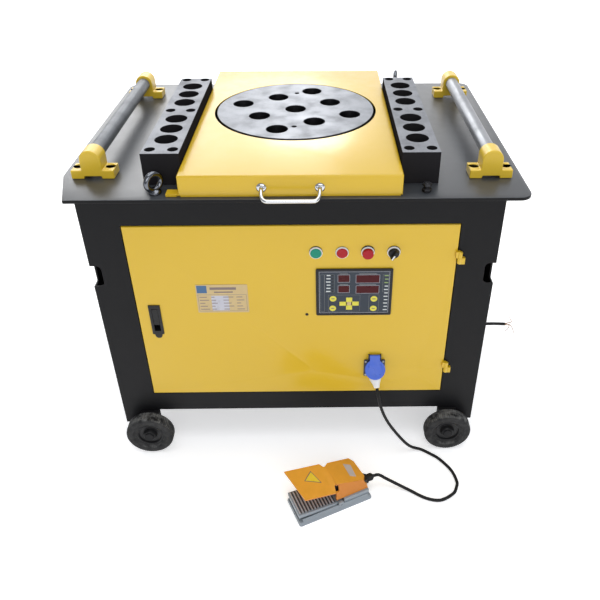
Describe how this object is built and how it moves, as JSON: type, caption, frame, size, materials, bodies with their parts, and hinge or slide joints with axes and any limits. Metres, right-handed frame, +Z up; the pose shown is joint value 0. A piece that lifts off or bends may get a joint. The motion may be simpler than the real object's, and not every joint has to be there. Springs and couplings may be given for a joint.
{
  "type": "rebar bender",
  "caption": "Floor-standing electric rebar bending machine: holed turning disc between pin blocks and side rollers on a sheet cabinet with wheels, front control door and foot switch.",
  "frame": {"origin": "centre of the whole footprint, on the floor, without the cords", "axes": "+Z up; the operator and the control door are at -Y, the cover's hinge at +Y; +X is to the operator's right"},
  "size_m": [1.0933, 1.0432, 0.826],
  "materials": {
    "black_paint": "satin black paint on welded sheet and plate",
    "yellow_paint": "semi-gloss yellow paint on sheet steel",
    "yellow_casting": "thick yellow paint on cast iron",
    "table_paint": "grey painted steel plate, worn where bars slide",
    "bright_steel": "turned and ground bare steel",
    "dark_steel": "dark oiled steel, ground bright on top",
    "cast_iron": "grey-green primed cast iron",
    "chrome": "bright plated steel",
    "rubber": "matte black rubber",
    "black_plastic": "moulded black plastic",
    "grey_plastic": "light grey moulded plastic",
    "green_plastic": "glossy green button",
    "red_plastic": "glossy red button",
    "blue_plastic": "blue socket lid",
    "orange_plastic": "orange moulded guard",
    "pedal_casting": "blue-grey painted aluminium casting",
    "label_plate": "beige printed aluminium plate",
    "copper": "bare copper strands"
  },
  "bodies": {
    "machine": {"frame_cabinet": "black_paint", "table_plate": "table_paint", "rear_panel": "yellow_paint", "pin_block_left": "dark_steel", "pin_block_right": "dark_steel", "pillow_front_left": "yellow_casting", "pillow_rear_left": "yellow_casting", "pillow_front_right": "yellow_casting", "pillow_rear_right": "yellow_casting", "eyebolt_front_left": "chrome", "eyebolt_rear_right": "chrome", "table_stud": "dark_steel", "gearbox_housing": "cast_iron", "motor_housing": "cast_iron", "motor_fan_cowl": "black_paint", "motor_terminal_box": "black_paint", "v_belt": "rubber", "electrical_panel": "bright_steel", "contactor": "black_plastic", "power_gland": "black_plastic", "door_hinge_lower": "yellow_paint", "door_hinge_upper": "yellow_paint", "cover_hinge_leaf": "yellow_paint", "pedal_base": "pedal_casting", "pedal_hood": "orange_plastic", "pedal_gland": "black_plastic", "foot_cable": "rubber", "power_lead": "rubber", "power_lead_cores": "copper"},
    "bender": {"bending_disc": "bright_steel", "main_shaft": "dark_steel", "worm_wheel": "cast_iron"},
    "worm": {"worm_shaft": "bright_steel", "input_pulley": "cast_iron"},
    "rotor": {"motor_shaft": "bright_steel", "motor_pulley": "cast_iron"},
    "roller_left": {"roller_left": "bright_steel"},
    "roller_right": {"roller_right": "bright_steel"},
    "cover": {"cover_sheet": "yellow_paint", "cover_handle": "chrome"},
    "door": {"door_panel": "yellow_paint", "latch_cup": "black_plastic", "rating_plate": "label_plate", "switch_bank": "grey_plastic", "controller_case": "black_plastic", "controller_overlay": "black_plastic", "foot_socket": "black_plastic", "foot_plug": "grey_plastic"},
    "latch": {"latch_paddle": "black_plastic"},
    "green_button": {"green_button": "green_plastic"},
    "red_button_left": {"red_button_left": "red_plastic"},
    "red_button_right": {"red_button_right": "red_plastic"},
    "selector": {"selector_knob": "black_plastic"},
    "lid": {"socket_lid": "blue_plastic"},
    "treadle": {"treadle": "pedal_casting"},
    "wheel_front_left": {"wheel_front_left": "rubber"},
    "wheel_front_right": {"wheel_front_right": "rubber"},
    "wheel_rear_left": {"wheel_rear_left": "rubber"},
    "wheel_rear_right": {"wheel_rear_right": "rubber"}
  },
  "joints": [
    {"name": "disc_spin", "type": "hinge", "parent": "machine", "child": "bender", "pos_m": [0, 0.13577, 0.763], "axis": [0, 0, 1], "continuous": true},
    {"name": "worm_spin", "type": "hinge", "parent": "machine", "child": "worm", "pos_m": [0, 0.27837, 0.59], "axis": [1, 0, 0], "continuous": true},
    {"name": "motor_spin", "type": "hinge", "parent": "machine", "child": "rotor", "pos_m": [-0.273, 0.27837, 0.24], "axis": [1, 0, 0], "continuous": true},
    {"name": "roller_left_spin", "type": "hinge", "parent": "machine", "child": "roller_left", "pos_m": [-0.4415, 0.12057, 0.796], "axis": [0, 1, 0], "continuous": true},
    {"name": "roller_right_spin", "type": "hinge", "parent": "machine", "child": "roller_right", "pos_m": [0.4415, 0.11307, 0.796], "axis": [0, 1, 0], "continuous": true},
    {"name": "wheel_front_left_roll", "type": "hinge", "parent": "machine", "child": "wheel_front_left", "pos_m": [-0.395, -0.27383, 0.0615], "axis": [0, 1, 0], "continuous": true},
    {"name": "wheel_front_right_roll", "type": "hinge", "parent": "machine", "child": "wheel_front_right", "pos_m": [0.395, -0.27383, 0.0615], "axis": [0, 1, 0], "continuous": true},
    {"name": "wheel_rear_left_roll", "type": "hinge", "parent": "machine", "child": "wheel_rear_left", "pos_m": [-0.395, 0.50197, 0.0615], "axis": [0, 1, 0], "continuous": true},
    {"name": "wheel_rear_right_roll", "type": "hinge", "parent": "machine", "child": "wheel_rear_right", "pos_m": [0.395, 0.50197, 0.0615], "axis": [0, 1, 0], "continuous": true},
    {"name": "door_swing", "type": "hinge", "parent": "machine", "child": "door", "pos_m": [0.3765, -0.25123, 0.177], "axis": [0, 0, 1], "range_deg": [0, 110], "deforming": ["foot_cable"]},
    {"name": "cover_lift", "type": "hinge", "parent": "machine", "child": "cover", "pos_m": [0, 0.47607, 0.7595], "axis": [-1, 0, 0], "range_deg": [0, 95]},
    {"name": "latch_pull", "type": "hinge", "parent": "door", "child": "latch", "pos_m": [-0.334, -0.24593, 0.4495], "axis": [-1, 0, 0], "range_deg": [0, 30], "stiffness_Nm_per_rad": 0.05, "springref_deg": -11.46},
    {"name": "green_button_press", "type": "slide", "parent": "door", "child": "green_button", "axis": [0, 1, 0], "range_m": [0, 0.003], "stiffness_N_per_m": 600, "springref_m": -0.004},
    {"name": "red_button_left_press", "type": "slide", "parent": "door", "child": "red_button_left", "axis": [0, 1, 0], "range_m": [0, 0.003], "stiffness_N_per_m": 600, "springref_m": -0.004},
    {"name": "red_button_right_press", "type": "slide", "parent": "door", "child": "red_button_right", "axis": [0, 1, 0], "range_m": [0, 0.003], "stiffness_N_per_m": 600, "springref_m": -0.004},
    {"name": "selector_turn", "type": "hinge", "parent": "door", "child": "selector", "pos_m": [0.2265, -0.24643, 0.606], "axis": [0, 1, 0], "range_deg": [-60, 0]},
    {"name": "socket_lid_lift", "type": "hinge", "parent": "door", "child": "lid", "pos_m": [0.195, -0.25243, 0.3015], "axis": [-1, 0, 0], "range_deg": [0, 60], "stiffness_Nm_per_rad": 0.01, "springref_deg": -28.65},
    {"name": "treadle_press", "type": "hinge", "parent": "machine", "child": "treadle", "pos_m": [0.09148, -0.43825, 0.018], "axis": [0.4115, -0.9114, 0], "range_deg": [0, 5], "stiffness_Nm_per_rad": 12, "springref_deg": -9.74}
  ],
  "couplings": [
    {"joint": "worm_spin", "follows": "disc_spin", "ratio": 30},
    {"joint": "motor_spin", "follows": "disc_spin", "ratio": 71.379}
  ]
}
